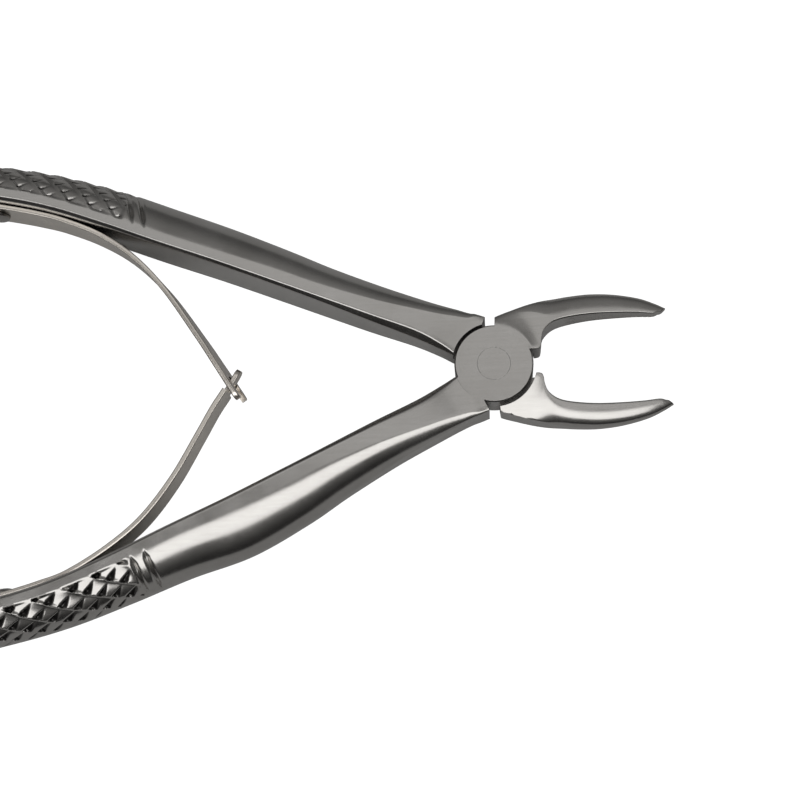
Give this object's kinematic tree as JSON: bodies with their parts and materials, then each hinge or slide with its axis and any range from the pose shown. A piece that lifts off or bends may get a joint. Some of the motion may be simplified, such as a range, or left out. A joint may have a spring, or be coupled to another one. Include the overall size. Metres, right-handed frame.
{
  "type": "dental extraction forceps",
  "caption": "Child's dental extraction forceps with a flush lap joint, slim curved beaks, cross-cut grips and interlocking leaf springs that hold it open.",
  "frame": {"origin": "on the rivet's axis, at the back face of the lap joint", "axes": "+X along the long axis towards the beak tips, +Y towards the back half's handle, +Z out of the joint's front face along the rivet"},
  "size_m": [0.1286, 0.0742, 0.0102],
  "materials": {
    "satin_steel": "satin-polished martensitic stainless steel, finely brushed along each half",
    "spring_steel": "rolled spring stainless steel with ground edges",
    "polished_steel": "turned and polished stainless steel screw"
  },
  "bodies": {
    "front_body": {"front_half": "satin_steel", "pivot_rivet": "satin_steel", "front_leaf_spring": "spring_steel", "front_spring_screw": "polished_steel"},
    "back_body": {"back_half": "satin_steel", "back_leaf_spring": "spring_steel", "back_spring_screw": "polished_steel"}
  },
  "joints": [
    {"name": "pivot", "type": "hinge", "parent": "front_body", "child": "back_body", "pos_m": [0, 0, 0.0028], "axis": [0, 0, 1], "range_deg": [-8, 28], "stiffness_Nm_per_rad": 1, "deforming": ["front_leaf_spring", "back_leaf_spring"]}
  ]
}
